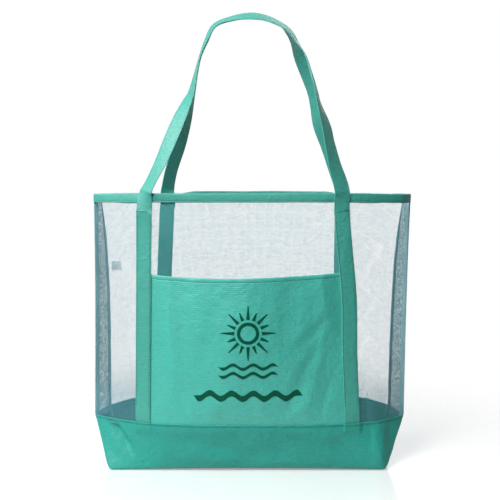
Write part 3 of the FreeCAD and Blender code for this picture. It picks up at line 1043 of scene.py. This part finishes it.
def free_loop(name, wall, stations):
    """(centre, turn) of the free part, from one end to the other."""
    points = smooth_stations(stations)
    last = len(points) - 1
    rim = [wall_point(wall, stations[i][0], HANDLE_PAST_RIM, HANDLE_OUT[1]) for i in (2, -3)]
    loop = []
    for i, (x, z, turn) in enumerate(points):
        if z < HANDLE_PAST_RIM:
            share = (z - HANDLE_START) / (HANDLE_PAST_RIM - HANDLE_START)
            place = wall_point(wall, x, z, between(*HANDLE_OUT, share))
        else:
            share = min((z - HANDLE_PAST_RIM) / (HANDLE_TOP_HEIGHT - HANDLE_PAST_RIM), 1.0)
            y = between(between(rim[0].y, rim[1].y, i / last), HANDLE_TOP_Y[name], share)
            place = Vector((x, y, z))
        loop.append((Vector((x, place.y, z)), turn))
    return loop


def strap_frames(name, wall, straps, stations):
    """(centre, side, facing) all along a strap: up one side, over the loop and down."""
    left = sewn_leg(wall, straps, "left")
    right = sewn_leg(wall, straps, "right")[::-1]
    loop = free_loop(name, wall, stations)
    centres = [p for p, _ in left] + [p for p, _ in loop] + [p for p, _ in right]
    last = len(centres) - 1
    frames = []
    for i, centre in enumerate(centres):
        run = (centres[min(i + 1, last)] - centres[max(i - 1, 0)]).normalized()
        k = i - len(left)
        if k < 0:
            facing = left[i][1].copy()
        elif k >= len(loop):
            facing = right[k - len(loop)][1].copy()
        else:
            turn = math.radians(loop[k][1])
            out_of_loop = Vector((-run.z, 0, run.x))
            facing = Vector((0, wall["sign"], 0)) * math.cos(turn) + out_of_loop * math.sin(turn)
            sewn = 1 - ease(centre.z, HANDLE_START - 2, HANDLE_START + 38)
            facing = facing.lerp(wall_normal(wall, centre.x, FACING_TOP), sewn)
        facing = (facing - run * facing.dot(run)).normalized()
        frames.append((centre, run.cross(facing).normalized(), facing))
    return frames, len(left), len(left) + len(loop)


def strap_rows(frames, sewn_low, sewn_high):
    rows = []
    for i, (centre, side, facing) in enumerate(frames):
        from_end = min(i, len(frames) - 1 - i, TUCKED_FRAMES)
        tuck = between(0.6, 1.0, from_end / TUCKED_FRAMES)
        half = STRAP_WIDTH / 2 + 0.22 * waver(i * 3.0, 0, centre.z, 16)
        thick = STRAP_THICKNESS / 2 * tuck
        free = sewn_low <= i < sewn_high
        row = []
        for share, height in STRAP_SECTION:
            pucker = 0.1 * waver(share * 9, i * 3.1, 0, 5)
            pucker += 0.14 * waver(share * 20, i * 3.1, 9, 17)
            lift = height * thick + pucker * (1 - abs(share) ** 6)
            row.append(centre + side * (share * half) + facing * lift)
        for share, height in STRAP_SECTION[-2:0:-1]:
            depth = height * thick if free else thick * min(height * 1.2, 1.0)
            row.append(centre + side * (share * half) - facing * depth)
        rows.append(row)
    return rows


def edge_stitch_runs(frames, side):
    """Stitch lines along both edges, on the outer (1) or the inner (-1) side."""
    at = STRAP_WIDTH / 2 - EDGE_STITCH
    height = side * (STRAP_THICKNESS / 2 * 0.62 + 0.04)
    normals = [facing * side for _, _, facing in frames]
    return [stitch_run([c + s * edge + f * height for c, s, f in frames], normals)
            for edge in (-at, at)]


def cross_stitch_runs(frames, rows):
    """Rows of thread right across a strap at the given frames."""
    runs = []
    for i in rows:
        centre, side, facing = frames[i]
        half = STRAP_WIDTH / 2 - EDGE_STITCH + 0.4
        height = STRAP_THICKNESS / 2 + 0.2
        path = [centre + side * a + facing * height for a in steps(-half, half, 20)]
        runs.append(stitch_run(path, [facing] * 20, pitch=2.6, length=2.1))
    return runs


def make_strap(name, wall, straps, stations):
    frames, low, high = strap_frames(name, wall, straps, stations)
    strap = outward(grid_mesh(f"{name}_strap_and_handle", strap_rows(frames, low, high),
                              close_across=True, caps=True))
    finish_piece(strap, MATERIALS["strap"], "strap_fabric", f"{name}_left_strap",
                 f"{name}_right_strap", f"{name}_handle")
    sewn = edge_stitch_runs(frames[UNSTITCHED_FRAMES:low - 1], 1)
    sewn += edge_stitch_runs(frames[high + 1:-UNSTITCHED_FRAMES], 1)
    sewn = stitches(f"{name}_strap_edge_stitching", sewn, STRAP_STITCH_RADIUS)
    finish_piece(sewn, MATERIALS["dark_thread_and_shadow"], "thread", body="bag")
    loop = frames[low + 1:high - 1]
    free = edge_stitch_runs(loop, 1) + edge_stitch_runs(loop, -1)
    thread = stitches(f"{name}_handle_edge_stitching", free, HANDLE_STITCH_RADIUS)
    finish_piece(thread, MATERIALS["thread"], "thread")
    for piece in (strap, thread):
        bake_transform(piece)
    return cross_stitch_runs(frames, (low - 1, high))


# ---- the care label ------------------
LABEL_SPANS = 14


def make_label():
    low, high = cad_corner("care_label", 0), cad_corner("care_label", 1)
    middle_y = (low.y + high.y) / 2
    rows = []
    for share in steps(0, 1, LABEL_SPANS):
        row = []
        for across in steps(0, 1, LABEL_SPANS):
            x = between(low.x, high.x + 0.5, across)
            z = between(low.z, high.z, share) + 1.6 * across - 0.8
            curl = 0.9 * across ** 2 * (0.5 + share) + 0.25 * math.sin(9 * across)
            row.append(Vector((x, middle_y - curl, z)))
        rows.append(row)
    label = thicken(grid_mesh("care_label_cloth", rows), 0.4, 0.0)
    finish_piece(label, MATERIALS["label"], "label", "care_label", body="care_label")


# ---- stage ---------------------------
BACKDROP = (-0.15, 0.55, 0.05, 0.55)  # from, to, strength in front, strength behind
FLOOR_RADIUS = 1.1
FLOOR_SIDES = 96
CAMERA_PLACE = (0.0, -1.4465, 0.486)
CAMERA_PITCH = 90 - 5.63


def make_floor():
    """A pale, slightly glossy disc that fades into the white round it."""
    rim = [(FLOOR_RADIUS * math.cos(angle), FLOOR_RADIUS * math.sin(angle), 0)
           for angle in steps(0, 2 * math.pi, FLOOR_SIDES)[:-1]]
    mesh = bpy.data.meshes.new("studio_floor")
    mesh.from_pydata(rim, [], [tuple(range(FLOOR_SIDES))])
    n = Paint("studio_floor_paint")
    inwards = n.node("ShaderNodeTexGradient", gradient_type="SPHERICAL")
    n.join(n.read("ShaderNodeTexCoord", "Object"), inwards.inputs[0])
    n.dials(Base_Color=(0.8, 0.8, 0.8, 1.0), Roughness=0.1, Specular_IOR_Level=1.0,
            Coat_Weight=1.0, Coat_Roughness=0.16, Coat_IOR=1.7, Emission_Color=WHITE,
            Emission_Strength=n.times(n.read("ShaderNodeLightPath", "Is Camera Ray"), 0.4),
            Alpha=n.ramp(inwards.outputs["Fac"], 0.3, 0.7))
    mesh.materials.append(n.material)
    link("studio_floor", mesh)


def make_world():
    """White to the camera. As a light it is a white backdrop behind a dimmer studio."""
    world = bpy.data.worlds.new("studio")
    bpy.context.scene.world = world
    n = Nodes(world)
    seen, lit = n.node("ShaderNodeBackground"), n.node("ShaderNodeBackground")
    seen.inputs[0].default_value = WHITE
    lit.inputs[0].default_value = (0.96, 0.99, 1.0, 1.0)
    depth = n.split(n.read("ShaderNodeTexCoord", "Generated"))[1]
    n.join(n.ramp(depth, *BACKDROP), lit.inputs[1])
    mix = n.node("ShaderNodeMixShader")
    n.join(n.read("ShaderNodeLightPath", "Is Camera Ray"), mix.inputs[0])
    n.join(lit.outputs[0], mix.inputs[1])
    n.join(seen.outputs[0], mix.inputs[2])
    n.join(mix.outputs[0], n.node("ShaderNodeOutputWorld").inputs["Surface"])


def make_light(name, place, aim, size, power):
    data = bpy.data.lights.new(name, "AREA")
    data.shape = "DISK"
    data.size = size
    data.energy = power
    light = link(name, data)
    light.location = place
    light.rotation_euler = (Vector(aim) - Vector(place)).to_track_quat("-Z", "Y").to_euler()


def make_camera():
    data = bpy.data.cameras.new("camera")
    data.sensor_width = 36.0
    data.lens = 64.2
    camera = link("camera", data)
    camera.location = CAMERA_PLACE
    camera.rotation_euler = (math.radians(CAMERA_PITCH), 0.0, 0.0)
    bpy.context.scene.camera = camera


# ---- everything ----------------------
make_camera()
make_world()
make_floor()
make_light("key_light", (-1.6, -0.8, 1.6), (0.0, 0.0, 0.5), 1.0, 27.0)
make_light("top_light", (-0.2, -1.0, 2.3), (0.0, 0.0, 0.4), 1.0, 8.0)
make_light("back_light", (0.5, 2.1, 1.6), (0.0, 0.0, 0.35), 1.4, 21.0)
make_light("fill_light", (-1.0, -1.55, 1.95), (0.0, 0.0, 0.45), 1.2, 48.0)

make_base()
hem_line = BASE_HEIGHT - HEM_STITCH_DROP
ring_stitches("base_hem_stitching", hem_line, base_out(hem_line, 1.1), thread="dark_thread_and_shadow",
              radius=BASE_STITCH_RADIUS)
make_panels()
make_binding()
make_tapes()
make_pocket()
make_emblem()
across = make_strap("front", FRONT, FRONT_STRAPS, FRONT_HANDLE)
across += make_strap("back", BACK, BACK_STRAPS, BACK_HANDLE)
finish_piece(stitches("strap_cross_stitching_thread", across), MATERIALS["dark_thread_and_shadow"], "thread",
             "strap_cross_stitching", body="bag")
make_label()

bpy.context.scene.view_settings.view_transform = "Standard"
